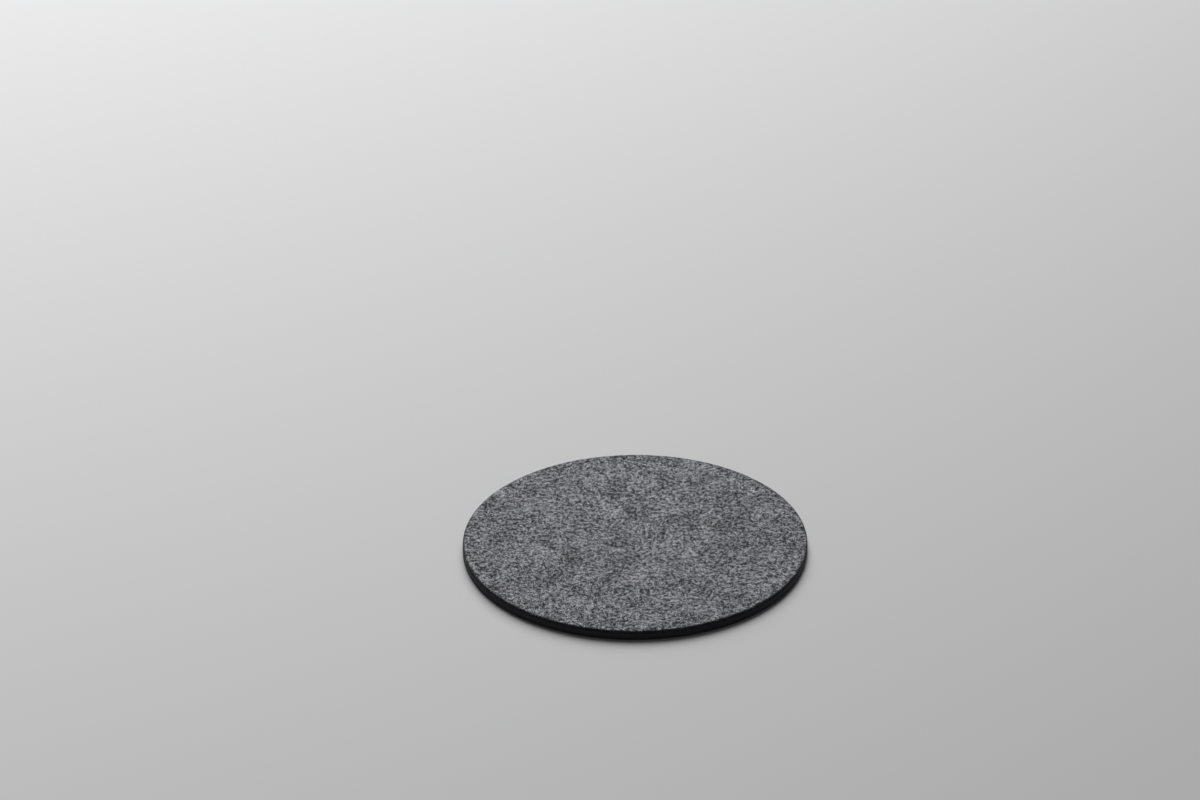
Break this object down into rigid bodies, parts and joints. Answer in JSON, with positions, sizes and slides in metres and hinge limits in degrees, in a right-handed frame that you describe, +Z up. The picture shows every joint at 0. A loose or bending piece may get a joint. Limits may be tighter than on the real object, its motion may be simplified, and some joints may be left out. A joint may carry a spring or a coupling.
{
  "type": "drinks coaster",
  "caption": "Flat round drinks coaster: a grey melange felt face bonded to a thin black foam-rubber base, which keeps a bottle or glass off the table.",
  "frame": {"origin": "on the table under the middle of the coaster", "axes": "+Z up, along the axis of the round outline; X and Y are free, because the outline is round"},
  "size_m": [0.1, 0.1, 0.003],
  "materials": {
    "felt": "matte",
    "film": "satin",
    "rubber": "matte"
  },
  "bodies": {
    "root": {"felt_face": "felt", "bond_film": "film", "rubber_base": "rubber"}
  },
  "joints": []
}
